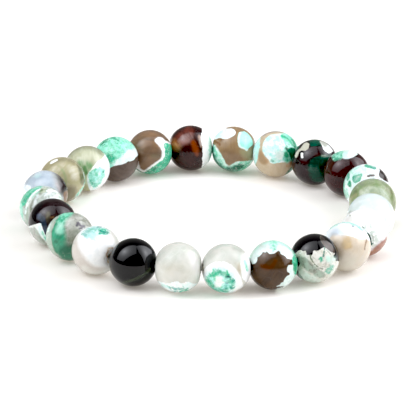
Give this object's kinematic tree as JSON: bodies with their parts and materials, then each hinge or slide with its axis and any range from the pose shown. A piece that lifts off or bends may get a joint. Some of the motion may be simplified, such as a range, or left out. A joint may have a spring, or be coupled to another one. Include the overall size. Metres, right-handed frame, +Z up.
{
  "type": "beaded bracelet",
  "caption": "Stretch bracelet of polished, crackled agate beads in green, white, brown and black, drilled and strung on an elastic cord, lying flat as a closed loop.",
  "frame": {"origin": "middle of the loop's box, on the surface that the beads rest on", "axes": "+Z up, square to the plane of the loop; +X to the right and +Y to the back as the picture sees it, with the loop's longer width along Y"},
  "size_m": [0.0636, 0.0686, 0.0082],
  "materials": {
    "green_agate": "polished",
    "white_agate": "polished",
    "black_agate": "polished",
    "milky_agate": "polished",
    "brown_agate": "polished",
    "tan_agate": "polished",
    "olive_agate": "polished",
    "elastic": "satin"
  },
  "bodies": {
    "root": {"bead_01": "green_agate", "bead_02": "white_agate", "bead_03": "black_agate", "bead_04": "milky_agate", "bead_05": "white_agate", "bead_06": "brown_agate", "bead_07": "black_agate", "bead_08": "tan_agate", "bead_09": "white_agate", "bead_10": "milky_agate", "bead_11": "olive_agate", "bead_12": "green_agate", "bead_13": "brown_agate", "bead_14": "black_agate", "bead_15": "tan_agate", "bead_16": "tan_agate", "bead_17": "brown_agate", "bead_18": "brown_agate", "bead_19": "green_agate", "bead_20": "olive_agate", "bead_21": "tan_agate", "bead_22": "milky_agate", "bead_23": "milky_agate", "bead_24": "black_agate", "elastic_cord": "elastic"}
  },
  "joints": []
}
